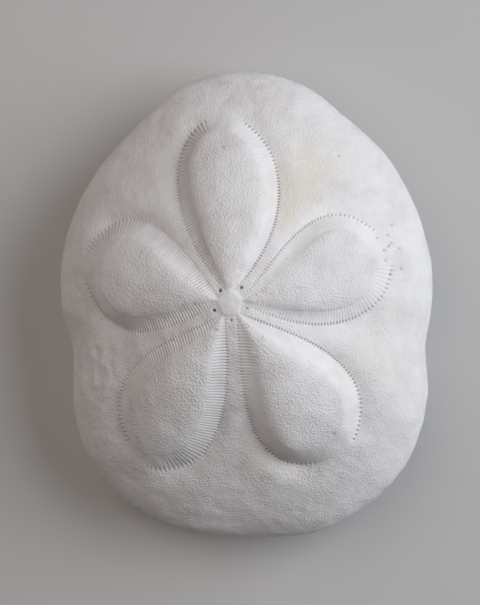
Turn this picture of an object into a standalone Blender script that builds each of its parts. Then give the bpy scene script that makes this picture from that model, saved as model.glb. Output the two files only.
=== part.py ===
"""Sea biscuit: the bleached, empty test of an inflated sand-dollar urchin, resting on its mouth side.

+Z is up, +Y is the front of the animal and the origin is on the surface that it rests on, under
the middle of its outline. Shapes are worked out in millimetres and turned to metres at the end.
"""
import math

import bmesh
import bpy
import numpy as np

MM = 0.001

# Body, in millimetres.
OUTLINE_STEP = 15.0  # degrees between the outline's radii, from the front round by the left
OUTLINE_RADII = (54.6, 53.7, 49.7, 47.8, 46.6, 45.5, 44.3, 43.2, 48.5, 53.3, 55.6, 56.0,
                 55.2, 56.2, 55.2, 52.8, 48.4, 43.3, 43.7, 44.5, 45.8, 47.5, 49.4, 53.0)
BACK = 12  # the radius that points straight back
APEX_OFFSET = 0.5  # the apex lies this far forward of the middle of the outline
APEX_HEIGHT = 44.0
AMBITUS_HEIGHT = 14.0  # height of the widest part of the rim
SHOULDER_ROUND = 1.62  # exponents of the dome's profile: how flat the top is
SHOULDER_DROP = 0.67  # and how sharply the shoulder falls to the rim
SHOULDER_ENDS = 0.11  # the front and the back fall off sooner than the sides
INTERRADIUS_DIP = 0.7  # how far the top sinks between two petals

# Underside, as shares of the outline's radius and in millimetres.
RING_OUTER = 0.80  # the flat ring that it rests on
RING_INNER = 0.64
RIM_POWER = 0.9
BELL_DEPTH = 12.0  # rise of the underside towards the mouth
MOUTH_RADIUS = 4.6
MOUTH_DEPTH = 6.0
MOUTH_WALL = 2.4
FOOD_GROOVE_DEPTH = 0.9
FOOD_GROOVE_WIDTH = 1.4
FOOD_GROOVE_SPAN = (6.0, 0.86)  # from this radius to this share of the outline
VENT_RADIUS = 2.4
VENT_DEPTH = 2.0
VENT_WALL = 1.8
VENT_FROM_BACK = 8.5

# Petals: angle from +X seen from above, length, then values for the left and the right side,
# looking outwards from the apex. full and taper shape the margin, band is the width of the pore
# band, widens what it gains towards the tip, rise its slope in the outer half of the petal, hollow
# how much that steepens on the way in, and valley the depth along the outer pores.
PETALS = (
    dict(angle=92.7, length=43.1, width=(12.16, 11.98), full=(0.79, 1.28), taper=(0.98, 0.37),
         band=(4.1, 4.3), widens=(0.0, 0.0),
         rise=(0.34, 0.25), hollow=(2.6, 2.5), valley=(0.80, 0.80)),
    dict(angle=163.4, length=37.8, width=(13.13, 12.48), full=(1.16, 1.00), taper=(0.83, 1.11),
         band=(4.1, 4.9), widens=(2.4, 0.0),
         rise=(0.32, 0.18), hollow=(2.0, 2.5), valley=(0.85, 1.00)),
    dict(angle=238.0, length=43.7, width=(11.61, 13.25), full=(1.07, 1.55), taper=(1.05, 1.27),
         band=(4.5, 3.9), widens=(0.0, 0.0),
         rise=(0.24, 0.29), hollow=(1.8, 2.0), valley=(0.95, 0.85)),
    dict(angle=305.8, length=41.4, width=(11.46, 15.19), full=(1.28, 0.88), taper=(1.16, 1.56),
         band=(4.9, 4.9), widens=(0.0, 0.9),
         rise=(0.28, 0.49), hollow=(2.5, 1.6), valley=(1.0, 1.0)),
    dict(angle=18.2, length=36.6, width=(12.07, 12.47), full=(1.27, 1.08), taper=(1.54, 0.74),
         band=(4.5, 3.8), widens=(0.0, 0.0),
         rise=(0.26, 0.13), hollow=(2.4, 4.0), valley=(0.80, 0.50)),
)
PETAL_START = 2.0  # the petals begin this far from the apex
BAND_GROWTH = 0.24  # share of the petal over which the pore band widens
BAND_WIDENS = (0.5, 0.85)  # and where it gains its last width
BAND_RISE = 0.25  # slope of the band in the inner half of a petal
BAND_HOLLOW = 2.5  # how much it steepens on the way in
VALLEY_DEPTH = 0.12  # valley in the inner half of a petal
VALLEY_REACH = 2.7
VALLEY_DEEPENS = (0.3, 0.65)  # shares of the petal's length
TIP_OPENS = (0.80, 0.97)  # the valley fades out on this stretch of the margin
CREASE = 0.45  # narrow part of the valley, as a share of its depth
CREASE_REACH = 1.15
SWELL = 0.35  # slope of the raised middle
MIDDLE_LIMIT = 3.0  # rounds off the top of the widest raised middles

# Apical plate, in millimetres.
PLATE_RADIUS = 2.55
PLATE_LONGER = 1.12  # its length from front to back, as a share of its width
PLATE_HEIGHT = 0.2
PLATE_EDGE = 0.95
PLATE_MOAT = 0.08

# Facets.
SEGMENTS = 312
RINGS = 208
TRIANGLES = 9400
MARGIN_POINTS = 90
FLAT_WITHIN = 0.03

BONE_WHITE = (0.78, 0.76, 0.73, 1.0)


def smooth_step(value):
    """0 below 0, 1 above 1, and an S-curve between."""
    value = np.clip(value, 0.0, 1.0)
    return value * value * (3.0 - 2.0 * value)


def outline_radius(theta):
    """Radius of the rim at each angle from +X: a smooth curve through the outline's radii."""
    radii = np.array(OUTLINE_RADII)
    place = (np.degrees(theta) - 90.0) % 360.0 / OUTLINE_STEP
    index = place.astype(int)
    t = place - index
    before, start, end, after = (radii[(index + i) % len(radii)] for i in (-1, 0, 1, 2))
    bend = 2.0 * before - 5.0 * start + 4.0 * end - after
    twist = 3.0 * start - before - 3.0 * end + after
    return 0.5 * (2.0 * start + (end - before) * t + bend * t**2 + twist * t**3)


def top_profile(theta, polar):
    """Share of the radius, and height, from the apex (0) to the rim (a quarter turn)."""
    share = np.sin(polar) ** (2.0 / SHOULDER_ROUND)
    power = SHOULDER_DROP - SHOULDER_ENDS * np.cos(2.0 * theta)
    drop = np.clip(np.cos(polar), 0.0, 1.0) ** (2.0 * power)
    return share, AMBITUS_HEIGHT + (APEX_HEIGHT - AMBITUS_HEIGHT) * drop


def under_profile(polar):
    """The same from the rim to the middle of the mouth: rounded edge, flat ring, bell."""
    t = np.clip(polar / (math.pi / 2.0) - 1.0, 0.0, 1.0)
    edge_end, ring_end = 0.34, 0.46
    turn = np.clip(t / edge_end, 0.0, 1.0) * math.pi / 2.0
    edge_share = RING_OUTER + (1.0 - RING_OUTER) * np.clip(np.cos(turn), 0.0, 1.0) ** RIM_POWER
    edge_height = AMBITUS_HEIGHT * (1.0 - np.sin(turn) ** RIM_POWER)
    ring_share = np.interp(t, (edge_end, ring_end, 1.0), (RING_OUTER, RING_INNER, 0.0))
    share = np.where(t < edge_end, edge_share, ring_share)
    bell = BELL_DEPTH * (1.0 + np.cos(math.pi * share / RING_INNER)) / 2.0
    return share, np.where(t < edge_end, edge_height, np.where(t < ring_end, 0.0, bell))


def body_point(theta, polar):
    """Point of the plain body, before its petals, pits and grooves."""
    top_share, top_height = top_profile(theta, np.minimum(polar, math.pi / 2.0))
    low_share, low_height = under_profile(np.maximum(polar, math.pi / 2.0))
    upper = polar <= math.pi / 2.0
    radius = np.where(upper, top_share, low_share) * outline_radius(theta)
    height = np.where(upper, top_height, low_height)
    return np.stack((radius * np.cos(theta), radius * np.sin(theta), height), axis=-1)


def body_normal(theta, polar):
    """Outward direction of the plain body, from points close by on either side."""
    step = 1e-3
    inner = np.clip(polar, 2.0 * step, math.pi - 2.0 * step)
    along = body_point(theta, inner + step) - body_point(theta, inner - step)
    around = body_point(theta + step, inner) - body_point(theta - step, inner)
    normal = np.cross(along, around)
    return normal / np.linalg.norm(normal, axis=-1, keepdims=True)


def petal_margin(petal, side):
    """Teardrop line of a petal's outer pores on one side (1 left, -1 right), along and across it."""
    turn = np.linspace(0.0, math.pi, MARGIN_POINTS)
    index = 0 if side > 0 else 1
    drop = np.sin(turn) ** petal["full"][index] * np.sin(turn / 2.0) ** petal["taper"][index]
    along = PETAL_START + (petal["length"] - PETAL_START) * (1.0 - np.cos(turn)) / 2.0
    return np.stack((along, side * petal["width"][index] * drop / drop.max()), axis=-1)


def nearest_on_line(points, line):
    """Distance from each point to a line, and how far along it, from 0 to 1, the nearest place is."""
    start, step = line[:-1], np.diff(line, axis=0)
    away = points[:, None, :] - start[None, :, :]
    t = np.clip((away * step).sum(axis=-1) / (step * step).sum(axis=-1), 0.0, 1.0)
    gap = np.linalg.norm(away - t[..., None] * step, axis=-1)
    best = gap.argmin(axis=1)
    rows = np.arange(len(points))
    return gap[rows, best], (best + t[rows, best]) / len(step)


def band_width(petal, index, reach):
    """Width of the pore band at a share of the petal's length from the apex."""
    start, end = BAND_WIDENS
    wider = petal["widens"][index] * smooth_step((reach - start) / (end - start))
    return petal["band"][index] * (1.0 - np.exp(-reach / BAND_GROWTH)) + wider + 0.05


def petal_relief(petal, x, y):
    """Height that one petal adds: valley along its margin, sloping pore band and raised middle."""
    angle = math.radians(petal["angle"])
    along = x * math.cos(angle) + y * math.sin(angle)
    across = y * math.cos(angle) - x * math.sin(angle)
    relief = np.zeros(len(x))
    margin = 3.0 * VALLEY_REACH
    near = (along > PETAL_START - margin) & (along < petal["length"] + margin)
    near &= np.abs(across) < max(petal["width"]) + margin
    points = np.stack((along[near], across[near]), axis=-1)
    reach = np.clip((along[near] - PETAL_START) / (petal["length"] - PETAL_START), 0.0, 1.0)

    gaps, valleys, climbs, rises = [], [], [], []
    inside = np.zeros(len(points), dtype=bool)
    for index, side in enumerate((1, -1)):
        line = petal_margin(petal, side)
        gap, turn = nearest_on_line(points, line)
        band = band_width(petal, index, reach)
        start, end = VALLEY_DEEPENS
        far = smooth_step((reach - start) / (end - start))
        valley = VALLEY_DEPTH + (petal["valley"][index] - VALLEY_DEPTH) * far
        slope = BAND_RISE + (petal["rise"][index] - BAND_RISE) * far
        start, end = TIP_OPENS
        opens = 1.0 - smooth_step((turn - start) / (end - start))
        valleys.append(valley * band / petal["band"][index] * opens)
        hollow = BAND_HOLLOW + (petal["hollow"][index] - BAND_HOLLOW) * far
        climbs.append(slope * band * np.minimum(gap / band, 1.0) ** hollow)
        rises.append(np.maximum(gap - band, 0.0))
        half_width = np.interp(points[:, 0], line[:, 0], np.abs(line[:, 1]), left=0.0, right=0.0)
        inside |= (side * points[:, 1] >= 0.0) & (np.abs(points[:, 1]) < half_width)
        gaps.append(gap)

    weights = [1.0 / (gap + 0.05) ** 3 for gap in gaps]
    total = weights[0] + weights[1]
    valley = (valleys[0] * weights[0] + valleys[1] * weights[1]) / total
    climb = (climbs[0] * weights[0] + climbs[1] * weights[1]) / total
    middle = rises[0] * rises[1] / np.maximum(rises[0] + rises[1], 1e-6)
    middle = MIDDLE_LIMIT * (1.0 - np.exp(-middle / MIDDLE_LIMIT))
    gap = np.minimum(gaps[0], gaps[1])
    form = np.where(inside, climb + SWELL * middle, 0.0)
    form -= valley * np.exp(-((gap / VALLEY_REACH) ** 2))
    form -= valley * CREASE * np.exp(-((gap / CREASE_REACH) ** 2))
    relief[near] = form
    return relief


def top_relief(x, y):
    """Height of everything on the upper side above the plain dome."""
    radius, theta = np.hypot(x, y), np.arctan2(y, x)
    share = radius / outline_radius(theta)
    between = (1.0 + np.cos(5.0 * (theta - math.pi / 2.0) + math.pi)) / 2.0
    relief = -INTERRADIUS_DIP * between * smooth_step(share / 0.5) * smooth_step((1.0 - share) / 0.3)
    for petal in PETALS:
        relief += petal_relief(petal, x, y)
    edge = (PLATE_RADIUS - np.hypot(x, y / PLATE_LONGER)) / PLATE_EDGE
    relief += PLATE_HEIGHT * smooth_step(edge + 0.5)
    return relief - PLATE_MOAT * np.exp(-((edge + 0.9) ** 2))


def pit(distance, radius, wall, depth):
    """Round pit with a sloping wall."""
    return depth * smooth_step((radius - distance) / wall + 0.5)


def under_relief(x, y):
    """Depth of the mouth, the vent and the five food grooves, into the underside."""
    radius, theta = np.hypot(x, y), np.arctan2(y, x)
    rim = outline_radius(theta)
    depth = pit(radius, MOUTH_RADIUS, MOUTH_WALL, MOUTH_DEPTH)
    vent_y = VENT_FROM_BACK - OUTLINE_RADII[BACK]
    depth += pit(np.hypot(x, y - vent_y), VENT_RADIUS, VENT_WALL, VENT_DEPTH)
    start, end = FOOD_GROOVE_SPAN
    fade = smooth_step((radius - start) / 3.0) * smooth_step((end - radius / rim) / 0.12)
    for petal in PETALS:
        angle = math.radians(petal["angle"])
        along = x * math.cos(angle) + y * math.sin(angle)
        across = y * math.cos(angle) - x * math.sin(angle)
        groove = np.exp(-((across / FOOD_GROOVE_WIDTH) ** 2)) * (along > 0.0)
        depth += FOOD_GROOVE_DEPTH * groove * fade
    return depth


def shell_points(directions):
    """Point of the finished surface for each direction from the middle of a ball."""
    theta = np.arctan2(directions[:, 1], directions[:, 0])
    polar = np.arccos(np.clip(directions[:, 2], -1.0, 1.0))
    points = body_point(theta, polar)
    upper = polar < math.radians(86.0)
    lower = polar > math.radians(98.0)
    shift = np.zeros(len(points))
    shift[upper] = top_relief(points[upper, 0], points[upper, 1])
    points += body_normal(theta, polar) * shift[:, None]
    points[lower, 2] += under_relief(points[lower, 0], points[lower, 1])
    points[:, 1] += APEX_OFFSET
    return points


def rest_flat(mesh):
    """Puts the points that are within a hair of the resting plane exactly on it."""
    for vertex in mesh.vertices:
        if vertex.co.z < FLAT_WITHIN * MM:
            vertex.co.z = 0.0


def centre_outline(mesh):
    """Moves the mesh so that its outline's box has the origin in its middle."""
    points = np.array([vertex.co for vertex in mesh.vertices])
    middle = (points.min(axis=0) + points.max(axis=0)) / 2.0
    for vertex in mesh.vertices:
        vertex.co.x -= middle[0]
        vertex.co.y -= middle[1]


def bone_material():
    material = bpy.data.materials.new("bleached_test")
    material.use_nodes = True
    shader = material.node_tree.nodes["Principled BSDF"]
    shader.inputs["Base Color"].default_value = BONE_WHITE
    shader.inputs["Roughness"].default_value = 0.85
    shader.inputs["Metallic"].default_value = 0.0
    material.diffuse_color = BONE_WHITE
    return material


def fine_ball(name):
    """A ball whose points are moved onto the finished surface."""
    form = bmesh.new()
    bmesh.ops.create_uvsphere(form, u_segments=SEGMENTS, v_segments=RINGS, radius=1.0)
    bmesh.ops.triangulate(form, faces=form.faces)
    directions = np.array([vertex.co.normalized() for vertex in form.verts])
    for vertex, point in zip(form.verts, shell_points(directions)):
        vertex.co = point * MM
    mesh = bpy.data.meshes.new(name)
    form.to_mesh(mesh)
    form.free()
    return mesh


def build_shell(collection):
    """The one-piece test: the fine form, thinned to few triangles where it is smooth."""
    fine = bpy.data.objects.new("shell_form", fine_ball("shell_form"))
    collection.objects.link(fine)
    thin = fine.modifiers.new("thin", "DECIMATE")
    thin.ratio = TRIANGLES / len(fine.data.polygons)
    graph = bpy.context.evaluated_depsgraph_get()
    mesh = bpy.data.meshes.new_from_object(fine.evaluated_get(graph))
    bpy.data.objects.remove(fine)

    rest_flat(mesh)
    centre_outline(mesh)
    mesh.name = "shell"
    mesh.shade_smooth()
    mesh.set_sharp_from_angle(angle=math.radians(50.0))
    mesh.materials.append(bone_material())
    shell = bpy.data.objects.new("shell", mesh)
    collection.objects.link(shell)
    return shell


def main():
    for old in list(bpy.data.objects):
        bpy.data.objects.remove(old)
    collection = bpy.data.collections.new("sea_biscuit")
    bpy.context.scene.collection.children.link(collection)
    build_shell(collection)


main()
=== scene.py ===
import math
import random

import bpy
import numpy as np
from mathutils import Matrix, Vector, noise
from mathutils.geometry import delaunay_2d_cdt


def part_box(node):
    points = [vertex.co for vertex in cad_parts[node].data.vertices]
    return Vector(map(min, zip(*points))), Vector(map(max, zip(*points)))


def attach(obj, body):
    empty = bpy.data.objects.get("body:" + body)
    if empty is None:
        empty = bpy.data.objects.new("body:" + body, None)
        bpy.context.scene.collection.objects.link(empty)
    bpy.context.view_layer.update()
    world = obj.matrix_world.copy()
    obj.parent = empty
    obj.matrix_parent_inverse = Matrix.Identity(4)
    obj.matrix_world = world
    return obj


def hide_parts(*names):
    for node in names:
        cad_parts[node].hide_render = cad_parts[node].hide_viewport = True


# Sea biscuit: the bleached, empty test of a sea urchin, lying on its mouth side on a pale table.
# Lengths are in millimetres until a mesh is made. +Y is the front of the animal, +Z is up, and
# the plan is drawn from the apex, where the five petals meet.

mm = 0.001

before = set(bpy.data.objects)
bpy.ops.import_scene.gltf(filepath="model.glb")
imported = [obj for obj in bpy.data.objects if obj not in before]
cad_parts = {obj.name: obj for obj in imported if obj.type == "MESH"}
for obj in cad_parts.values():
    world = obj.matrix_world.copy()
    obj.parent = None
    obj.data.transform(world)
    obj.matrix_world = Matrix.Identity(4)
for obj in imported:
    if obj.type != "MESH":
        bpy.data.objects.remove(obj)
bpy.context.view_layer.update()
print("frame loaded")


def smoothStep(value):
    value = np.clip(value, 0.0, 1.0)
    return value * value * (3.0 - 2.0 * value)


def ramp(value, span):
    start, end = span
    return smoothStep((value - start) / (end - start))


body = dict(
    outlineStep=15.0,  # degrees between the outline's radii, from the front round by the left
    outlineRadii=(54.6, 53.7, 49.7, 47.8, 46.6, 45.5, 44.3, 43.2, 48.5, 53.3, 55.6, 56.0,
                  55.2, 56.2, 55.2, 52.8, 48.4, 43.3, 43.7, 44.5, 45.8, 47.5, 49.4, 53.0),
    apexForward=0.5,  # the apex lies this far forward of the middle
    apexHeight=44.0,
    rimHeight=14.0,  # height of the widest part
    shoulderRound=1.62,
    shoulderDrop=0.67,
    shoulderEnds=0.11,  # the ends fall off sooner than the sides
    rimRound=(0.45, 0.35),  # how much rounder the edge above the rim is, and how far up
    interradiusDip=0.7,  # the surface sinks between the petals
    dipFades=(0.5, 0.3),  # and does so over these shares of the way, at the apex and at the rim
    ringTurns=(0.34, 0.46),  # where the flat ring starts and ends, on the way from rim to mouth
    ringOuter=0.80,  # flat ring that it rests on, as shares of the outline
    ringInner=0.64,
    rimPower=0.9,  # roundness of the flank below the rim
    bellDepth=12.0,
)


def outlineRadius(theta):
    radii = np.array(body["outlineRadii"])
    place = (np.degrees(theta) - 90.0) % 360.0 / body["outlineStep"]
    index = place.astype(int)
    t = place - index
    before, start, end, after = (radii[(index + i) % len(radii)] for i in (-1, 0, 1, 2))
    bend = 2.0 * before - 5.0 * start + 4.0 * end - after
    twist = 3.0 * start - before - 3.0 * end + after
    return 0.5 * (2.0 * start + (end - before) * t + bend * t**2 + twist * t**3)


# polar is 0 at the apex, a quarter turn at the rim and half a turn in the middle of the mouth side
def bodyPoint(theta, polar):
    top = np.minimum(polar, math.pi / 2.0)
    topShare = np.sin(top) ** (2.0 / body["shoulderRound"])
    power = body["shoulderDrop"] - body["shoulderEnds"] * np.cos(2.0 * theta)
    fall = np.clip(np.cos(top), 0.0, 1.0)
    amount, reach = body["rimRound"]
    rounding = amount * (2.0 * power - 1.0) * fall * np.exp(-((fall / reach) ** 2))
    drop = fall ** (2.0 * power) + rounding
    topHeight = body["rimHeight"] + (body["apexHeight"] - body["rimHeight"]) * drop

    t = np.clip(polar / (math.pi / 2.0) - 1.0, 0.0, 1.0)
    ringStart, ringEnd = body["ringTurns"]
    turn = np.clip(t / ringStart, 0.0, 1.0) * math.pi / 2.0
    outer, inner = body["ringOuter"], body["ringInner"]
    flankShare = outer + (1.0 - outer) * np.clip(np.cos(turn), 0.0, 1.0) ** body["rimPower"]
    flankHeight = body["rimHeight"] * (1.0 - np.sin(turn) ** body["rimPower"])
    ringShare = np.interp(t, (ringStart, ringEnd, 1.0), (outer, inner, 0.0))
    lowShare = np.where(t < ringStart, flankShare, ringShare)
    bell = body["bellDepth"] * (1.0 + np.cos(math.pi * lowShare / inner)) / 2.0
    lowHeight = np.where(t < ringStart, flankHeight, np.where(t < ringEnd, 0.0, bell))

    upper = polar <= math.pi / 2.0
    radius = np.where(upper, topShare, lowShare) * outlineRadius(theta)
    height = np.where(upper, topHeight, lowHeight)
    return np.stack((radius * np.cos(theta), radius * np.sin(theta), height), axis=-1)


def bodyNormal(theta, polar):
    step = 1e-3
    inner = np.clip(polar, 2.0 * step, math.pi - 2.0 * step)
    along = bodyPoint(theta, inner + step) - bodyPoint(theta, inner - step)
    around = bodyPoint(theta + step, inner) - bodyPoint(theta - step, inner)
    normal = np.cross(along, around)
    return normal / np.linalg.norm(normal, axis=-1, keepdims=True)


# Pairs are for the left and the right side, looking outwards from the apex. full and taper shape
# the margin, band is the width of the pore band, widens what it gains towards the tip, rise its
# slope in the outer half, and hollow how much that steepens on the way in. slitsEnd is where the
# pore pairs stop on the margin (0 at the apex, 1 at the tip), from smoothFrom on the slits are
# short, and slits and pores are how clear the slits and the outer pores are, both in depth and
# in the shade painted into their colour.
petals = (
    dict(angle=92.7, length=43.1, width=(12.16, 11.98), full=(0.79, 1.28), taper=(0.98, 0.37),
         band=(4.1, 4.3), widens=(0.0, 0.0),
         rise=(0.29, 0.25), hollow=(3.2, 2.5), valley=(0.80, 0.80),
         slitsEnd=(0.90, 0.86), smoothFrom=(1.0, 1.0), slits=(1.2, 0.0), pores=(0.35, 0.9)),
    dict(angle=163.4, length=37.8, width=(13.13, 12.48), full=(1.16, 1.00), taper=(0.83, 1.11),
         band=(4.1, 4.9), widens=(2.4, 0.0),
         rise=(0.32, 0.18), hollow=(2.0, 2.5), valley=(0.85, 1.00),
         slitsEnd=(0.86, 0.95), smoothFrom=(0.55, 1.0), slits=(0.8, 0.7), pores=(0.3, 0.0)),
    dict(angle=238.0, length=43.7, width=(11.61, 13.25), full=(1.07, 1.55), taper=(1.05, 1.27),
         band=(4.5, 3.9), widens=(0.0, 0.0),
         rise=(0.16, 0.29), hollow=(2.4, 2.0), valley=(0.95, 0.85),
         slitsEnd=(0.99, 0.83), smoothFrom=(0.82, 0.60), slits=(0.5, 0.7), pores=(0.3, 0.3)),
    dict(angle=305.8, length=41.4, width=(11.46, 15.19), full=(1.28, 0.88), taper=(1.16, 1.56),
         band=(4.9, 4.9), widens=(0.0, 0.9),
         rise=(0.28, 0.45), hollow=(2.5, 1.6), valley=(1.0, 1.0),
         slitsEnd=(0.92, 0.88), smoothFrom=(1.0, 0.34), slits=(0.0, 0.35), pores=(0.8, 0.5)),
    dict(angle=18.2, length=36.6, width=(12.07, 12.47), full=(1.27, 1.08), taper=(1.54, 0.74),
         band=(4.5, 3.8), widens=(0.0, 0.0),
         rise=(0.26, 0.13), hollow=(2.4, 4.0), valley=(0.80, 0.50),
         slitsEnd=(0.86, 0.90), smoothFrom=(1.0, 1.0), slits=(0.0, 0.3), pores=(0.7, 0.6)),
)

# What the five petals share. Spans are shares of a petal's length, from the apex to the tip.
petalForm = dict(
    start=2.0,
    marginPoints=420,  # points that draw each side's margin
    bandLeast=0.05,
    bandGrowth=0.24,  # the pore band widens over this share
    bandWidens=(0.5, 0.85),  # and gains its last width here
    bandRise=0.25,  # slope of the band in the inner half
    bandHollow=2.5,  # how much it steepens on the way in
    valleyDepth=0.12,  # of the valley along the margin, in the inner half
    valleyReach=2.7,
    valleyDeepens=(0.3, 0.65),
    tipOpens=(0.80, 0.97),  # the valley runs out towards the tip
    crease=0.45,  # narrow part of the valley, on the outer pores
    creaseReach=1.15,
    swell=0.35,  # slope of the raised middle
    middleLimit=3.0,
    bareEdge=0.3,  # the band's smooth surface ends this gradually
    crownFrom=(3.0, 5.0),  # the middle's coarse grain starts this far from the margin
)

poreRows = dict(
    pitchNear=0.69,  # mm between pore pairs in the inner half of a petal
    pitchFar=1.04,
    pitchGrows=(0.50, 0.76),  # where, as shares of the margin
    rowGrowsIn=(1.0, 2.5),  # the first pairs at the apex fade in
    rowEnds=0.03,  # the row fades out over this share of the margin
    slitsShorten=0.10,
    fullBand=2.2,  # on a narrower band everything is smaller, down to the least size
    leastSize=0.25,
    slitDepth=0.20,
    slitSharp=1.9,
    # painted shade in the slits: how much their colour is darkened
    slitShade=0.26,
    slitOutside=0.75,  # the slits run on this far outside the outer pores
    slitInside=0.1,  # and stop this far before the band's inner edge
    slitFades=0.6,
    shortSlit=1.3,  # length of the slits in the smooth stretches
    faintSlit=0.08,  # what is left of a slit where they aren't clear
    outerPlace=0.08,  # outer pores, mm inside the margin
    outerSize=(0.14, 0.25),  # along the margin and across it
    outerDepth=0.50,
    faintOuter=0.25,
    # painted shade in the outer pores: how much their colour is darkened
    outerShade=1.0,
    darkNear=0.55,  # share of that at the apex
    darkGrows=(0.2, 0.55),
    innerPlace=0.25,  # inner pores, mm before the band's inner edge
    innerSize=(0.11, 0.13),
    innerDepth=0.32,
    # painted shade in the inner pores
    innerShade=0.42,
    innerClear=(0.7, 0.6),  # share of that without slits, and what clear slits add
)


def petalMargin(petal, side):
    turn = np.linspace(0.0, math.pi, petalForm["marginPoints"])
    index = 0 if side > 0 else 1
    drop = np.sin(turn) ** petal["full"][index] * np.sin(turn / 2.0) ** petal["taper"][index]
    start = petalForm["start"]
    along = start + (petal["length"] - start) * (1.0 - np.cos(turn)) / 2.0
    return np.stack((along, side * petal["width"][index] * drop / drop.max()), axis=-1)


# counts the pore pairs along a margin, and gives the distance between them
def poreUnits(line):
    steps = np.linalg.norm(np.diff(line, axis=0), axis=1)
    length = np.concatenate(((0.0,), np.cumsum(steps)))
    near, far = poreRows["pitchNear"], poreRows["pitchFar"]
    pitch = near + (far - near) * ramp(length / length[-1], poreRows["pitchGrows"])
    steps = np.diff(length) / ((pitch[1:] + pitch[:-1]) / 2.0)
    return np.concatenate(((0.0,), np.cumsum(steps))), pitch


def nearestOnLine(points, line):
    batch = 4000  # points at a time, to spare memory
    start, step = line[:-1], np.diff(line, axis=0)
    size = (step * step).sum(axis=-1)
    gap, place = np.empty(len(points)), np.empty(len(points))
    for first in range(0, len(points), batch):
        part = slice(first, first + batch)
        away = points[part, None, :] - start[None, :, :]
        t = np.clip((away * step).sum(axis=-1) / size, 0.0, 1.0)
        distance = np.hypot(away[..., 0] - t * step[:, 0], away[..., 1] - t * step[:, 1])
        best = distance.argmin(axis=1)
        rows = np.arange(len(best))
        gap[part] = distance[rows, best]
        place[part] = best + t[rows, best]
    return gap, place


def bandWidth(petal, index, reach):
    wider = petal["widens"][index] * ramp(reach, petalForm["bandWidens"])
    growth = 1.0 - np.exp(-reach / petalForm["bandGrowth"])
    return petal["band"][index] * growth + wider + petalForm["bandLeast"]


def poreSize(band):
    return np.clip(band / poreRows["fullBand"], poreRows["leastSize"], 1.0)


def petalFrame(petal, x, y):
    angle = math.radians(petal["angle"])
    return (x * math.cos(angle) + y * math.sin(angle), y * math.cos(angle) - x * math.sin(angle))


def pitShape(along, across, size):
    return np.exp(-((along / size[0]) ** 2 + (across / size[1]) ** 2) ** 1.5)


def poreDetail(gap, band, unit, pitch, turn, petal, index, inside):
    rows = poreRows
    reach = (1.0 - np.cos(turn * math.pi)) / 2.0
    phase = unit - np.round(unit)
    ends = petal["slitsEnd"][index]
    present = ramp(unit, rows["rowGrowsIn"]) * (1.0 - smoothStep((turn - ends) / rows["rowEnds"]))
    across = np.where(inside, gap, -gap)
    small = poreSize(band)

    short = smoothStep((turn - petal["smoothFrom"][index]) / rows["slitsShorten"])
    slitLength = band - rows["slitInside"] + (rows["shortSlit"] - band) * short
    outside = rows["slitOutside"] * small
    window = smoothStep((across + outside) / outside)
    window = window * smoothStep((slitLength - across) / rows["slitFades"])
    groove = (0.5 + 0.5 * np.cos(2.0 * math.pi * phase)) ** rows["slitSharp"]
    faint = rows["faintSlit"]
    slit = window * groove * (faint + (1.0 - faint) * petal["slits"][index])

    alongSize, acrossSize = rows["outerSize"]
    outerPit = pitShape(phase * pitch, across - rows["outerPlace"] * small,
                        (alongSize, acrossSize * small))
    innerPit = pitShape(phase * pitch, across - band + rows["innerPlace"] * small,
                        rows["innerSize"]) * (1.0 - short)
    faint = rows["faintOuter"]
    outerDepth = rows["outerDepth"] * (faint + (1.0 - faint) * petal["pores"][index])
    depth = rows["slitDepth"] * small * slit
    depth += (outerDepth * outerPit + rows["innerDepth"] * innerPit) * small

    # shade painted into the colour of the pores and slits, returned beside their depth
    near = rows["darkNear"]
    outerShade = rows["outerShade"] * petal["pores"][index]
    outerShade = outerShade * (near + (1.0 - near) * ramp(reach, rows["darkGrows"]))
    least, more = rows["innerClear"]
    innerShade = rows["innerShade"] * (least + more * petal["slits"][index])
    hollow = np.maximum(outerShade * outerPit, innerShade * innerPit) + rows["slitShade"] * slit
    return -depth * present, hollow * present


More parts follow.
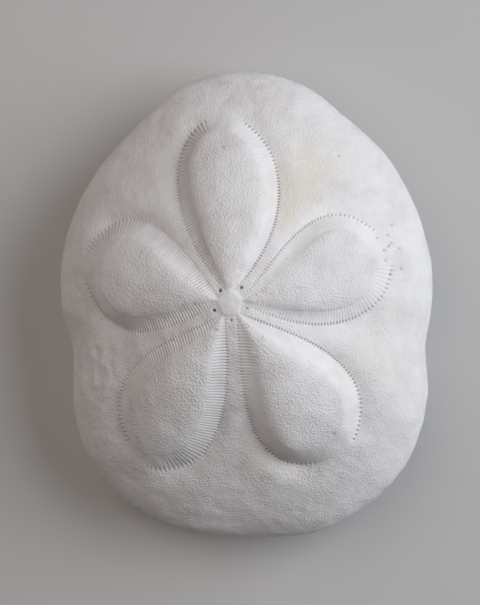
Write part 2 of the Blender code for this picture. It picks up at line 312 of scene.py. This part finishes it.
def petalRelief(petal, x, y):
    form = petalForm
    along, across = petalFrame(petal, x, y)
    margin = 3.0 * form["valleyReach"]  # the valley has run out there
    near = (along > form["start"] - margin) & (along < petal["length"] + margin)
    near &= np.abs(across) < max(petal["width"]) + margin
    points = np.stack((along[near], across[near]), axis=-1)
    reach = np.clip((along[near] - form["start"]) / (petal["length"] - form["start"]), 0.0, 1.0)
    far = ramp(reach, form["valleyDeepens"])

    gaps, valleys, climbs, rises, sides = [], [], [], [], []
    inside = np.zeros(len(points), dtype=bool)
    for index, side in enumerate((1, -1)):
        line = petalMargin(petal, side)
        units, pitch = poreUnits(line)
        gap, place = nearestOnLine(points, line)
        turn = place / (len(line) - 1)
        band = bandWidth(petal, index, reach)
        valley = form["valleyDepth"] + (petal["valley"][index] - form["valleyDepth"]) * far
        slope = form["bandRise"] + (petal["rise"][index] - form["bandRise"]) * far
        steepens = form["bandHollow"] + (petal["hollow"][index] - form["bandHollow"]) * far
        valleys.append(valley * band / petal["band"][index] * (1.0 - ramp(turn, form["tipOpens"])))
        climbs.append(slope * band * np.minimum(gap / band, 1.0) ** steepens)
        rises.append(np.maximum(gap - band, 0.0))
        halfWidth = np.interp(points[:, 0], line[:, 0], np.abs(line[:, 1]), left=0.0, right=0.0)
        inside |= (side * points[:, 1] >= 0.0) & (np.abs(points[:, 1]) < halfWidth)
        gaps.append(gap)
        steps = np.arange(len(line))
        unit, pitch = np.interp(place, steps, units), np.interp(place, steps, pitch)
        sides.append((index, gap, band, unit, pitch, turn))

    # the nearer side counts most
    left, right = (1.0 / (gap + 0.05) ** 3 for gap in gaps)
    valley = (valleys[0] * left + valleys[1] * right) / (left + right)
    climb = (climbs[0] * left + climbs[1] * right) / (left + right)
    middle = rises[0] * rises[1] / np.maximum(rises[0] + rises[1], 1e-6)
    limit = form["middleLimit"]
    middle = limit * (1.0 - np.exp(-middle / limit))
    gap = np.minimum(gaps[0], gaps[1])
    lift = np.where(inside, climb + form["swell"] * middle, 0.0)
    lift -= valley * np.exp(-((gap / form["valleyReach"]) ** 2))
    lift -= valley * form["crease"] * np.exp(-((gap / form["creaseReach"]) ** 2))

    # the shade painted into the pores and slits, taken from the nearer side
    poreShades, bands = np.zeros(len(points)), np.zeros(len(points))
    edge = form["bareEdge"]
    for index, sideGap, band, unit, pitch, turn in sides:
        mine = sideGap <= gap + 1e-9
        detail, dark = poreDetail(sideGap, band, unit, pitch, turn, petal, index, inside)
        lift += np.where(mine, detail, 0.0)
        poreShades = np.where(mine, dark, poreShades)
        fade = 1.0 - smoothStep((turn - petal["slitsEnd"][index]) / (2.0 * poreRows["rowEnds"]))
        smooth = smoothStep((band + edge - sideGap) / (2.0 * edge)) * fade
        bands = np.where(mine & inside, smooth, bands)

    relief, hollow, bare, crown = (np.zeros(len(x)) for _ in range(4))
    relief[near], hollow[near], bare[near] = lift, poreShades, bands
    crown[near] = np.where(inside, ramp(gap, form["crownFrom"]), 0.0)
    return relief, hollow, bare, crown


apicalPlate = dict(
    radius=2.55,
    longer=1.12,  # its length from front to back, as a share of its width
    corner=0.07,
    height=0.15,
    edge=0.80,
    moat=0.08,
    bare=0.7,  # how smooth it is
    poreRadius=0.31,
    poreDepth=0.9,
    # distance from the apex in mm, angle, and how dark the shade painted into it is, which also
    # sets how deep it is
    pores=((3.45, 126.8, 1.2), (3.83, 204.5, 1.2), (3.86, 273.5, 0.5), (4.02, 341.3, 0.5),
           (4.27, 51.1, 0.9)),
)

surface = dict(
    openGrain=(0.7, 0.95),  # roughness beside the petals, at the front right and the back left
    openWaves=(0.2, 0.35),  # what is added to the unevenness there, in the same two places
    backLeft=(10.0, 50.0),  # mm from the apex where the change starts, and over how many
    # cream stains: mm forward and to the right of the apex, size, strength
    stains=((25.7, 14.0, 6.0, 1.0), (33.0, 17.5, 6.5, 0.8), (19.5, 12.6, 4.0, 0.7),
            (-13.4, 30.3, 6.0, 0.8), (-3.0, 38.0, 4.5, 0.4), (-36.0, 4.0, 5.0, 0.6),
            (-20.0, -15.0, 6.0, 0.35)),
    # size and height of the surface's waves, in mm
    waves=((9.0, 0.17), (4.0, 0.10), (1.8, 0.08)),
)

# dried and worn skin
wrinkles = dict(
    size=(1.5, 3.4),  # across and along a fold
    bend=(0.6, 1.4),
    sharp=3.2,
    # mm forward and to the right of the apex, reach forward and to the side, and height
    patches=((-14.0, -33.5, 9.5, 5.0, 0.55), (4.5, -37.5, 6.0, 2.6, 0.45),
             (-28.0, -31.0, 6.0, 4.0, 0.22)),
)

# pores that stray from the rows: at the right petal's tip, and three worn pits elsewhere
loosePores = dict(
    seed=11,
    count=11,
    petal=4,
    spread=(2.2, 5.5),  # along and across the petal, about its tip
    radius=0.21,
    depth=0.28,
    # how dark the shade painted into them is
    dark=0.6,
    others=((33.4, 23.4), (34.3, -2.3), (-29.0, 21.0)),
)


def strayPores():
    rng = random.Random(loosePores["seed"])
    petal = petals[loosePores["petal"]]
    angle = math.radians(petal["angle"])
    spreadAlong, spreadAcross = loosePores["spread"]
    places = [(right, forward) for forward, right in loosePores["others"]]
    for _ in range(loosePores["count"]):
        along = petal["length"] + rng.uniform(-1.0, 1.0) * spreadAlong
        across = rng.uniform(-1.0, 1.0) * spreadAcross
        places.append((along * math.cos(angle) - across * math.sin(angle),
                       along * math.sin(angle) + across * math.cos(angle)))
    return places


def wrinkleHeight(x, y):
    lift = np.zeros(len(x))
    across, along = wrinkles["size"]
    bendSize, bend = wrinkles["bend"]
    for forward, right, reachForward, reachRight, height in wrinkles["patches"]:
        share = np.exp(-(((x - right) / reachRight) ** 2 + ((y - forward) / reachForward) ** 2))
        for index in np.nonzero(share > 0.02)[0]:
            place = Vector((x[index] / across, y[index] / along, right))
            fold = noise.noise(place + Vector((noise.noise(place * bendSize), 0.0, 0.0)) * bend)
            lift[index] += height * share[index] * max(0.0, 1.0 - wrinkles["sharp"] * abs(fold))
    return lift


def unevenHeight(points):
    waves = np.zeros(len(points))
    for index, point in enumerate(points):
        place = Vector(point)
        waves[index] = sum(height * noise.noise(place / size) for size, height in surface["waves"])
    return waves


def topRelief(x, y):
    radius, theta = np.hypot(x, y), np.arctan2(y, x)
    share = radius / outlineRadius(theta)
    between = (1.0 + np.cos(5.0 * (theta - math.pi / 2.0) + math.pi)) / 2.0
    atApex, atRim = body["dipFades"]
    relief = -body["interradiusDip"] * between * smoothStep(share / atApex)
    relief = relief * smoothStep((1.0 - share) / atRim)
    hollow, bare, crown = (np.zeros(len(x)) for _ in range(3))
    for petal in petals:
        lift, dark, band, middle = petalRelief(petal, x, y)
        relief += lift
        hollow = np.maximum(hollow, dark)
        bare = np.maximum(bare, band)
        crown = np.maximum(crown, middle)

    plate = apicalPlate
    corners = 1.0 + plate["corner"] * np.cos(5.0 * (theta - math.pi / 2.0)) / 5.0
    edge = (plate["radius"] * corners - np.hypot(x, y / plate["longer"])) / plate["edge"]
    relief += plate["height"] * smoothStep(edge + 0.5)
    relief -= plate["moat"] * np.exp(-((edge + 0.9) ** 2))
    bare = np.maximum(bare, plate["bare"] * smoothStep(edge + 1.0))
    # the gonopores: pits, with shade painted into their colour
    for distance, degrees, dark in plate["pores"]:
        angle = math.radians(degrees)
        away = np.hypot(x - distance * math.cos(angle), y - distance * math.sin(angle))
        pit = np.exp(-((away / plate["poreRadius"]) ** 4))
        relief -= plate["poreDepth"] * dark * pit
        hollow = np.maximum(hollow, dark * pit)
    for right, forward in strayPores():
        pit = np.exp(-((np.hypot(x - right, y - forward) / loosePores["radius"]) ** 4))
        relief -= loosePores["depth"] * pit
        hollow = np.maximum(hollow, loosePores["dark"] * pit)
    relief += wrinkleHeight(x, y)

    stain = np.zeros(len(x))
    for forward, right, size, strength in surface["stains"]:
        stain += strength * np.exp(-((x - right) ** 2 + (y - forward) ** 2) / size**2)
    start, width = surface["backLeft"]
    backLeft = smoothStep((start - 0.5 * (x + y)) / width)
    low, high = surface["openGrain"]
    openGrain = low + (high - low) * backLeft
    grain = (openGrain + (1.0 - openGrain) * crown) * (1.0 - bare)
    low, high = surface["openWaves"]
    uneven = 1.0 + (low + (high - low) * backLeft) * (1.0 - crown) * (1.0 - bare)
    return relief, hollow, grain, stain, uneven


underside = dict(
    mouthRadius=4.6,
    mouthDepth=6.0,
    mouthWall=2.4,
    grooveDepth=0.9,  # the five food grooves
    grooveWidth=1.4,
    grooveSpan=(6.0, 0.86),  # from mm off the middle to a share of the outline
    grooveFades=(3.0, 0.12),
    grooveSmooth=0.6,
    ventRadius=2.4,
    ventDepth=2.0,
    ventWall=1.8,
    ventFromBack=8.5,
)


def underRelief(x, y):
    u = underside
    radius, theta = np.hypot(x, y), np.arctan2(y, x)
    rim = outlineRadius(theta)
    mouth = smoothStep((u["mouthRadius"] - radius) / u["mouthWall"] + 0.5)
    backRadius = body["outlineRadii"][len(body["outlineRadii"]) // 2]
    ventY = u["ventFromBack"] - backRadius
    vent = smoothStep((u["ventRadius"] - np.hypot(x, y - ventY)) / u["ventWall"] + 0.5)
    depth = u["mouthDepth"] * mouth + u["ventDepth"] * vent
    start, end = u["grooveSpan"]
    growsIn, runsOut = u["grooveFades"]
    fade = smoothStep((radius - start) / growsIn) * smoothStep((end - radius / rim) / runsOut)
    grooves = np.zeros(len(x))
    for petal in petals:
        along, across = petalFrame(petal, x, y)
        grooves += np.exp(-((across / u["grooveWidth"]) ** 2)) * (along > 0.0)
    depth += u["grooveDepth"] * grooves * fade
    # besides the depth: the shade painted into the mouth and the vent, and where the grooves lie
    return depth, np.maximum(mouth, vent), np.clip(grooves * fade, 0.0, 1.0)


meshing = dict(
    extent=60.0,
    rimPoints=500,
    topSpacing=0.56,
    underSpacing=0.95,
    rimGap=(0.7, 0.6),  # first grid points inside the rim, in spacings, above and below
    plateSpacing=0.22,
    plateReach=5.4,
    plateClearance=0.12,
    clearance=0.34,  # the open grid keeps this far off the fine points
    leastGap=0.075,
    columnsPerPore=6,
    # lines of points along each pore row: mm inside the margin, shares of the band between
    # the two rows of pores, and mm past the band's inner edge
    outerLines=(-0.80, -0.45, -0.20, -0.04, 0.12, 0.30, 0.60),
    bandLines=(0.2, 0.4, 0.6, 0.8),
    bandInset=(0.60, 1.10),
    innerLines=(-0.48, -0.30, -0.12, 0.20),
    strayRings=(0.2, 0.42),  # rings of points round a stray pore
)


# The surface is drawn flat, on two round maps that share the rim: one for the top, one for the
# underside. On a map, distance from the middle follows the turn from the pole to the rim.
def mapFromPlan(x, y):
    theta = np.arctan2(y, x)
    rim = outlineRadius(theta)
    share = np.clip(np.hypot(x, y) / rim, 0.0, 1.0)
    polar = np.arcsin(share ** (body["shoulderRound"] / 2.0))
    distance = polar / (math.pi / 2.0) * rim
    return np.stack((distance * np.cos(theta), distance * np.sin(theta)), axis=-1)


def polarFromMap(points, upper):
    theta = np.arctan2(points[:, 1], points[:, 0])
    polar = np.hypot(points[:, 0], points[:, 1]) / outlineRadius(theta) * math.pi / 2.0
    return theta, polar if upper else math.pi - polar


def hexGrid(extent, spacing):
    rows = np.arange(-extent, extent, spacing * math.sqrt(3.0) / 2.0)
    columns = np.arange(-extent, extent, spacing)
    x, y = np.meshgrid(columns, rows)
    x = x + np.where(np.arange(len(rows)) % 2, spacing / 2.0, 0.0)[:, None]
    return np.stack((x.ravel(), y.ravel()), axis=-1)


def poreStrips():
    strips = []
    for petal in petals:
        angle = math.radians(petal["angle"])
        for index, side in enumerate((1, -1)):
            line = petalMargin(petal, side)
            units, pitch = poreUnits(line)
            steps = np.arange(len(line))
            perPore = meshing["columnsPerPore"]
            first = poreRows["rowGrowsIn"][0]
            end = petal["slitsEnd"][index] + poreRows["rowEnds"]
            last = np.interp(end, steps / (len(line) - 1), units)
            columns = np.arange(first * perPore, last * perPore)
            place = np.interp(columns / perPore, units, steps)
            base = np.stack([np.interp(place, steps, line[:, k]) for k in (0, 1)], axis=-1)
            tangent = np.gradient(line, axis=0)
            tangent = np.stack([np.interp(place, steps, tangent[:, k]) for k in (0, 1)], axis=-1)
            tangent /= np.linalg.norm(tangent, axis=1, keepdims=True)
            inward = side * np.stack((tangent[:, 1], -tangent[:, 0]), axis=-1)
            reach = (1.0 - np.cos(place / (len(line) - 1) * math.pi)) / 2.0
            band = bandWidth(petal, index, reach)
            small = poreSize(band)
            for offset in meshing["outerLines"]:
                strips.append((base + inward * (offset * small)[:, None], angle, band > 0.0))
            inset, both = meshing["bandInset"]
            for share in meshing["bandLines"]:
                depth = inset * small + (band - both * small) * share
                strips.append((base + inward * depth[:, None], angle, band > 1.0 + 0.6 * share))
            for offset in meshing["innerLines"]:
                depth = band + offset * small
                strips.append((base + inward * depth[:, None], angle, band > 0.9))
    points = []
    inner, outer = meshing["strayRings"]
    for right, forward in strayPores():
        turn = np.linspace(0.0, 2.0 * math.pi, 8, endpoint=False)
        ring = np.concatenate(((0.0,), np.full(8, inner), np.full(8, outer)))
        turn = np.concatenate(((0.0,), turn, turn + 0.4))
        points.append(mapFromPlan(right + ring * np.cos(turn), forward + ring * np.sin(turn)))
    for along, angle, kept in strips:
        along = along[kept]
        x = along[:, 0] * math.cos(angle) - along[:, 1] * math.sin(angle)
        y = along[:, 0] * math.sin(angle) + along[:, 1] * math.cos(angle)
        points.append(mapFromPlan(x, y))
    return np.concatenate(points)


def cellKeys(points, cell):
    grid = np.floor(points / cell).astype(np.int64)
    return grid[:, 0] * 1000003 + grid[:, 1]


def keepClear(points, taken, clearance):
    blocked = [cellKeys(taken + np.array((dx, dy)) * clearance, clearance)
               for dx in (-1, 0, 1) for dy in (-1, 0, 1)]
    return points[~np.isin(cellKeys(points, clearance), np.concatenate(blocked))]


def thinOut(points, spacing):
    first = np.unique(cellKeys(points, spacing), return_index=True)[1]
    return points[np.sort(first)]


def rimRing():
    theta = np.linspace(-math.pi, math.pi, meshing["rimPoints"], endpoint=False)
    rim = outlineRadius(theta)
    return np.stack((rim * np.cos(theta), rim * np.sin(theta)), axis=-1)


def insideRim(points, gap):
    theta = np.arctan2(points[:, 1], points[:, 0])
    return points[np.hypot(points[:, 0], points[:, 1]) < outlineRadius(theta) - gap]


def triangulate(ring, inner):
    count = len(ring)
    points = [Vector(point) for point in np.concatenate((ring, inner))]
    result = delaunay_2d_cdt(points, [], [list(range(count))], 1, 1e-6)
    coordinates, faces, origins = result[0], result[2], result[3]
    ringIndex = np.full(len(coordinates), -1)
    for index, origin in enumerate(origins):
        for source in origin:
            if source < count:
                ringIndex[index] = source
    points = np.array([tuple(point) for point in coordinates])
    return points, np.array([tuple(face) for face in faces]), ringIndex


# turns from the apex in degrees: the relief of the top ends just above the rim, that of the
# underside starts just below it, and the waves run out before the flat ring
seams = dict(
    topEnds=86.0,
    underStarts=98.0,
    wavesEnd=118.0,
    wavesFade=0.3,
)


def makeTest():
    ring = rimRing()
    extent = meshing["extent"]
    strips = thinOut(poreStrips(), meshing["leastGap"])
    plate = hexGrid(meshing["plateReach"], meshing["plateSpacing"])
    plate = plate[np.hypot(plate[:, 0], plate[:, 1]) < meshing["plateReach"]]
    plate = keepClear(plate, strips, meshing["plateClearance"])
    fine = np.concatenate((strips, plate))
    topGap, underGap = meshing["rimGap"]
    spacing = meshing["topSpacing"]
    top = insideRim(hexGrid(extent, spacing), spacing * topGap)
    top = keepClear(top, fine, meshing["clearance"])
    print("pore strips", len(strips), "plate", len(plate), "open surface", len(top))
    topMap, topFaces, topRing = triangulate(ring, np.concatenate((fine, top)))

    spacing = meshing["underSpacing"]
    low = insideRim(hexGrid(extent, spacing), spacing * underGap)
    lowMap, lowFaces, lowRing = triangulate(ring, low)
    print("top", len(topFaces), "underside", len(lowFaces), "triangles")

    theta, polar = polarFromMap(topMap, True)
    polar = np.where(topRing >= 0, math.pi / 2.0, polar)
    upper = bodyPoint(theta, polar)
    relief, hollow, grain, stain, uneven = topRelief(upper[:, 0], upper[:, 1])
    relief = np.where(polar < math.radians(seams["topEnds"]), relief, 0.0)
    upper += bodyNormal(theta, polar) * relief[:, None]

    thetaLow, polarLow = polarFromMap(lowMap, False)
    lower = bodyPoint(thetaLow, polarLow)
    depth, holeShade, grooves = underRelief(lower[:, 0], lower[:, 1])
    below = polarLow > math.radians(seams["underStarts"])
    lower[:, 2] += np.where(below, depth, 0.0)

    # the two maps are joined at the rim
    slot = np.full(len(ring), -1)
    slot[topRing[topRing >= 0]] = np.nonzero(topRing >= 0)[0]
    extra = lowRing < 0
    newIndex = np.empty(len(lower), dtype=int)
    newIndex[extra] = len(upper) + np.arange(extra.sum())
    newIndex[~extra] = slot[lowRing[~extra]]
    points = np.concatenate((upper, lower[extra]))
    faces = np.concatenate((topFaces, newIndex[lowFaces][:, ::-1]))
    # painted shade: in the pores, slits and gonopores on top, in the mouth and vent below
    hollow = np.concatenate((hollow, np.where(below, holeShade, 0.0)[extra]))
    smooth = np.where(below, underside["grooveSmooth"] * grooves, 0.0)[extra]
    grain = np.concatenate((grain, surface["openGrain"][1] * (1.0 - smooth)))
    stain = np.concatenate((stain, np.zeros(extra.sum())))
    uneven = np.concatenate((uneven, np.full(extra.sum(), 1.0 + surface["openWaves"][0])))
    turns = np.concatenate((polar, polarLow[extra]))
    thetas = np.concatenate((theta, thetaLow[extra]))

    normals = bodyNormal(thetas, turns)
    calm = smoothStep((math.radians(seams["wavesEnd"]) - turns) / seams["wavesFade"])
    waves = unevenHeight(points) * uneven * calm
    points += normals * waves[:, None]
    points[:, 1] += body["apexForward"]

    # distance from the apex over the surface, for the rows of bosses
    profileTurns = np.linspace(0.0, math.pi, 400)
    profile = bodyPoint(np.zeros(len(profileTurns)), profileTurns)
    steps = np.linalg.norm(np.diff(profile, axis=0), axis=1)
    fromApex = np.interp(turns, profileTurns, np.concatenate(((0.0,), np.cumsum(steps))))
    return points, faces, dict(hollow=hollow, grain=grain, stain=stain, fromApex=fromApex)


def fitToCad(points):
    low, high = (np.array(corner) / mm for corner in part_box("shell"))
    size = points.max(axis=0) - points.min(axis=0)
    scale = (high - low) / size
    print("fit to the solid", np.round(scale, 5))
    justInside = 0.99999
    return (points - points.min(axis=0)) * np.minimum(scale, 1.0) * justInside + low


points, faces, marks = makeTest()
points = fitToCad(points)
mesh = bpy.data.meshes.new("bleachedTestMesh")
mesh.from_pydata((points * mm).tolist(), [], faces.tolist())
mesh.update()
for name, values in marks.items():
    attribute = mesh.attributes.new(name, "FLOAT", "POINT")
    attribute.data.foreach_set("value", np.ascontiguousarray(values, dtype=np.float32))
mesh.shade_smooth()
test = bpy.data.objects.new("bleachedTest", mesh)
bpy.context.scene.collection.objects.link(test)
print("test made:", len(points), "points,", len(faces), "triangles")


def linearColour(code):
    values = [int(code[i:i + 2], 16) / 255.0 for i in (1, 3, 5)]
    linear = [v / 12.92 if v <= 0.04045 else ((v + 0.055) / 1.055) ** 2.4 for v in values]
    return (*linear, 1.0)


def addNode(tree, kind, settings=None, inputs=None):
    node = tree.nodes.new("ShaderNode" + kind)
    for key, value in (settings or {}).items():
        setattr(node, key, value)
    for key, value in (inputs or {}).items():
        if isinstance(value, bpy.types.NodeSocket):
            tree.links.new(value, node.inputs[key])
        else:
            node.inputs[key].default_value = value
    return node


# Shade is painted into the colour of the pores, slits, mouth and vent, and between the bosses.
# Bleached calcite: a sun-dried urchin test, porous and chalky. To the eye it is matt white, rough
# with close-set bosses in wavy rows, faintly clouded grey and pink, and cream where skin dried on.
# Sizes are in mm. A patch is the span of a noise over which something comes and goes.
calcite = dict(
    bone="#e9e8e8",
    cloud="#dfdbdb",
    cream="#e4dfd3",
    # shade painted into the pores, slits, mouth and vent; the dark specks take this colour too
    pore="#4b423e",
    # painted shade in the hollows between the bosses
    gap="#b3aeac",  # between the bosses
    cloudSize=11.0,
    cloudPatch=(0.42, 0.66),
    stainSize=3.0,
    stainPatch=(0.30, 0.62),
    stainShare=(0.25, 1.0),
    bossSize=0.54,
    bossSpan=(0.10, 0.62),  # from its flat top to its foot
    bossSoft=0.3,
    bossRandom=0.85,
    rowPitch=0.70,
    rowFoot=0.35,  # height of a row between its bosses
    rowWander=4.5,  # size of the bends in the rows, and by how many rows they reach
    rowBend=5.0,
    patchSize=7.0,
    rowPatch=(0.40, 0.66),
    rowShare=(0.10, 0.60),  # how far the bosses are drawn together into rows
    wornSize=4.0,
    wornPatch=(0.34, 0.64),
    worn=(0.8, 1.1),  # height of the bosses where they are worn and where they are fresh
    bossHeight=0.11,
    gapShadeShare=0.22,
    speckSpacing=2.6,
    speckSize=(0.03, 0.09),
    speckDark=0.5,
    speckArea=6.0,
    speckPatch=(0.48, 0.60),
    poreShadeShare=0.9,
    roughness=0.85,
    ior=1.49,
)


def makeCalcite():
    c = calcite
    material = bpy.data.materials.new("bleachedCalcite")
    material.use_nodes = True
    tree = material.node_tree
    tree.nodes.clear()
    place = addNode(tree, "TexCoord").outputs["Object"]

    def mark(name):
        return addNode(tree, "Attribute", {"attribute_name": name}).outputs["Fac"]

    def waves(size, detail=2.0):
        return addNode(tree, "TexNoise", {}, {
            "Vector": place, "Scale": 1.0 / (size * mm),
            "Detail": detail, "Roughness": 0.6}).outputs["Fac"]

    def spread(value, span, to=(0.0, 1.0)):
        return addNode(tree, "MapRange", {"interpolation_type": "SMOOTHSTEP"}, {
            "Value": value, "From Min": span[0], "From Max": span[1],
            "To Min": to[0], "To Max": to[1]}).outputs[0]

    def combine(operation, first, second, third=0.0, clamp=False):
        return addNode(tree, "Math", {"operation": operation, "use_clamp": clamp}, {
            0: first, 1: second, 2: third}).outputs[0]

    def blend(share, first, second):
        return addNode(tree, "Mix", {"data_type": "RGBA"}, {
            0: share, 6: first, 7: second}).outputs[2]

    # round bosses, here and there drawn together into wavy rows round the apex
    cells = addNode(tree, "TexVoronoi", {"feature": "SMOOTH_F1"}, {
        "Vector": place, "Scale": 1.0 / (c["bossSize"] * mm),
        "Smoothness": c["bossSoft"], "Randomness": c["bossRandom"]})
    boss = spread(cells.outputs["Distance"], c["bossSpan"], (1.0, 0.0))
    wander = combine("MULTIPLY", waves(c["rowWander"]), c["rowBend"])
    rowCount = combine("MULTIPLY_ADD", mark("fromApex"), 1.0 / c["rowPitch"], wander)
    wave = combine("SINE", combine("MULTIPLY", rowCount, 2.0 * math.pi), 0.0)
    row = combine("MULTIPLY_ADD", wave, 0.5, 0.5)
    row = combine("MULTIPLY", row, combine("ADD", boss, c["rowFoot"]))
    rowShare = spread(waves(c["patchSize"]), c["rowPatch"], c["rowShare"])
    height = addNode(tree, "Mix", {"data_type": "FLOAT"}, {0: rowShare, 2: boss, 3: row})
    worn = spread(waves(c["wornSize"], 3.0), c["wornPatch"], c["worn"])
    amount = combine("MULTIPLY", mark("grain"), worn)
    rough = combine("MULTIPLY", height.outputs[0], amount)

    clouds = spread(waves(c["cloudSize"], 4.0), c["cloudPatch"])
    colour = blend(clouds, linearColour(c["bone"]), linearColour(c["cloud"]))
    stains = spread(waves(c["stainSize"], 3.0), c["stainPatch"], c["stainShare"])
    stains = combine("MULTIPLY", mark("stain"), stains, clamp=True)
    colour = blend(stains, colour, linearColour(c["cream"]))
    # painted shade where the bosses are low, between them
    gaps = combine("SUBTRACT", amount, rough)
    gaps = combine("MULTIPLY", gaps, c["gapShadeShare"], clamp=True)
    colour = blend(gaps, colour, linearColour(c["gap"]))
    specks = addNode(tree, "TexVoronoi", {}, {
        "Vector": place, "Scale": 1.0 / (c["speckSpacing"] * mm)})
    specks = spread(specks.outputs["Distance"], c["speckSize"], (c["speckDark"], 0.0))
    specks = combine("MULTIPLY", specks, spread(waves(c["speckArea"]), c["speckPatch"]))
    colour = blend(specks, colour, linearColour(c["pore"]))
    # painted shade in the pores, slits, gonopores, mouth and vent
    pores = combine("MULTIPLY", mark("hollow"), c["poreShadeShare"], clamp=True)
    colour = blend(pores, colour, linearColour(c["pore"]))

    bump = addNode(tree, "Bump", {}, {
        "Height": rough, "Distance": c["bossHeight"] * mm, "Strength": 1.0})
    shader = addNode(tree, "BsdfPrincipled", {}, {
        "Base Color": colour, "Normal": bump.outputs[0],
        "Roughness": c["roughness"], "IOR": c["ior"]})
    addNode(tree, "OutputMaterial", {}, {"Surface": shader.outputs[0]})
    return material


mesh.materials.append(makeCalcite())
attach(test, "root")
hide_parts("shell")
print("calcite done")


studio = dict(
    floorColour="#c3c2c0",
    floorRoughness=0.9,
    floorSize=4000.0,
    aimHeight=20.0,
    # softboxes: degrees from +X and above the table, mm away, width, watts, colour
    softKey=(14.0, 31.0, 700.0, 600.0, 5.2, "#f2f7ff"),
    softFill=(148.0, 60.0, 900.0, 900.0, 3.3, "#fff3ec"),
    airColour="#fff3ec",
    airStrength=0.03,
)


# a plain table top in matt paint: smooth, and without gloss
def makeFloor():
    size = studio["floorSize"] * mm / 2.0
    corners = [(-size, -size, 0.0), (size, -size, 0.0), (size, size, 0.0), (-size, size, 0.0)]
    floorMesh = bpy.data.meshes.new("tableTopMesh")
    floorMesh.from_pydata(corners, [], [(0, 1, 2, 3)])
    floor = bpy.data.objects.new("tableTop", floorMesh)
    bpy.context.scene.collection.objects.link(floor)
    material = bpy.data.materials.new("mattPaint")
    material.use_nodes = True
    tree = material.node_tree
    tree.nodes.clear()
    shader = addNode(tree, "BsdfPrincipled", {}, {
        "Base Color": linearColour(studio["floorColour"]),
        "Roughness": studio["floorRoughness"]})
    addNode(tree, "OutputMaterial", {}, {"Surface": shader.outputs[0]})
    floorMesh.materials.append(material)


def aimAt(obj, target):
    obj.rotation_euler = (target - obj.location).to_track_quat("-Z", "Y").to_euler()


def makeLights():
    middle = Vector((0.0, 0.0, studio["aimHeight"] * mm))
    for name in ("softKey", "softFill"):
        azimuth, elevation, distance, size, power, colour = studio[name]
        light = bpy.data.lights.new(name, "AREA")
        light.shape = "SQUARE"
        light.size = size * mm
        light.energy = power
        light.color = linearColour(colour)[:3]
        box = bpy.data.objects.new(name, light)
        turn, rise = math.radians(azimuth), math.radians(elevation)
        flat = math.cos(rise)
        direction = Vector((flat * math.cos(turn), flat * math.sin(turn), math.sin(rise)))
        box.location = direction * distance * mm + middle
        aimAt(box, middle)
        bpy.context.scene.collection.objects.link(box)
    world = bpy.data.worlds.new("studioAir")
    world.use_nodes = True
    air = world.node_tree.nodes["Background"].inputs
    air["Color"].default_value = linearColour(studio["airColour"])
    air["Strength"].default_value = studio["airStrength"]
    bpy.context.scene.world = world


photo = dict(
    frame=(480, 605),
    lens=100.0,
    sensor=36.0,
    distance=396.3,
    tilt=7.5,  # degrees towards +X
    roll=1.1,
    aimHeight=15.0,
    middle=(244.5, 304.25),  # the object's middle in the frame, in pixels
)


def makeCamera():
    data = bpy.data.cameras.new("photoCamera")
    data.lens = photo["lens"]
    data.sensor_width = photo["sensor"]
    data.clip_start = 0.01
    camera = bpy.data.objects.new("photoCamera", data)
    tilt, roll = math.radians(photo["tilt"]), math.radians(photo["roll"])
    forward = Vector((-math.sin(tilt), 0.0, -math.cos(tilt)))
    level = Vector((math.cos(tilt), 0.0, -math.sin(tilt)))
    upright = Vector((0.0, 1.0, 0.0))
    right = level * math.cos(roll) - upright * math.sin(roll)
    up = upright * math.cos(roll) + level * math.sin(roll)
    width, height = photo["frame"]
    pixel = photo["distance"] * photo["sensor"] / photo["lens"] / height
    aim = Vector((0.0, 0.0, photo["aimHeight"]))
    aim -= right * (photo["middle"][0] - width / 2.0) * pixel
    aim += up * (photo["middle"][1] - height / 2.0) * pixel
    place = (aim - forward * photo["distance"]) * mm
    turn = Matrix((right, up, -forward)).transposed()
    camera.matrix_world = Matrix.Translation(place) @ turn.to_4x4()
    bpy.context.scene.collection.objects.link(camera)
    bpy.context.scene.camera = camera


makeFloor()
makeLights()
makeCamera()
bpy.context.scene.view_settings.view_transform = "Standard"
print("studio done")
